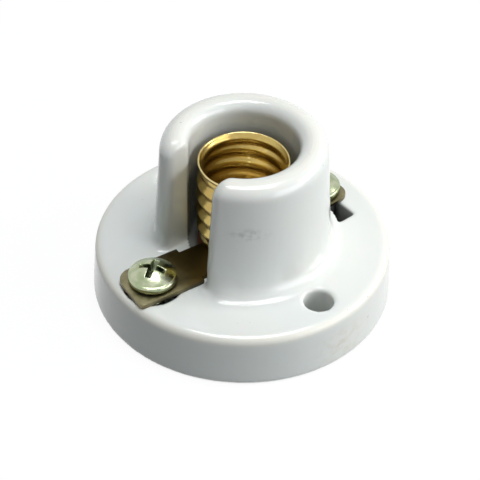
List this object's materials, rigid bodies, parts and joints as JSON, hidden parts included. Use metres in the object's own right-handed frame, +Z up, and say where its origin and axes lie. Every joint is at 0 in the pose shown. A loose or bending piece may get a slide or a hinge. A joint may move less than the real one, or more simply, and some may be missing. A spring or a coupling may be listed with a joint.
{
  "type": "lamp holder",
  "caption": "Open porcelain lamp holder: round base and slotted tower in one piece, rolled brass screw shell, plated terminal strips with pan head screws.",
  "frame": {"origin": "centre of the porcelain base's underside, on the lamp's axis", "axes": "+Z up along the lamp's axis, out of the socket's mouth. -X is the tower's open slot and the shell's terminal, +X is the centre contact's terminal. The two fixing holes lie along Y."},
  "size_m": [0.048, 0.048, 0.029],
  "materials": {
    "porcelain": "white glaze",
    "brass": "rolled, bright",
    "plated_strip": "dulled plate",
    "fibre": "matt",
    "rivet_brass": "dull",
    "screw_zinc": "yellowish zinc plate"
  },
  "bodies": {
    "holder": {"porcelain_body": "porcelain", "screw_shell": "brass", "shell_strip": "plated_strip", "contact_strip": "plated_strip", "insulating_washer": "fibre", "shell_rivet_near": "rivet_brass", "shell_rivet_far": "rivet_brass", "contact_rivet": "rivet_brass"},
    "shell_screw": {"shell_terminal_screw": "screw_zinc"},
    "contact_screw": {"contact_terminal_screw": "screw_zinc"}
  },
  "joints": [
    {"name": "shell_screw_turn", "type": "hinge", "parent": "holder", "child": "shell_screw", "pos_m": [-0.0178, 0.0002, 0.0101], "axis": [0, 0, 1], "range_deg": [-205, 1080]},
    {"name": "contact_screw_turn", "type": "hinge", "parent": "holder", "child": "contact_screw", "pos_m": [0.0165, 0.001, 0.0099], "axis": [0, 0, 1], "range_deg": [-205, 1080]}
  ]
}
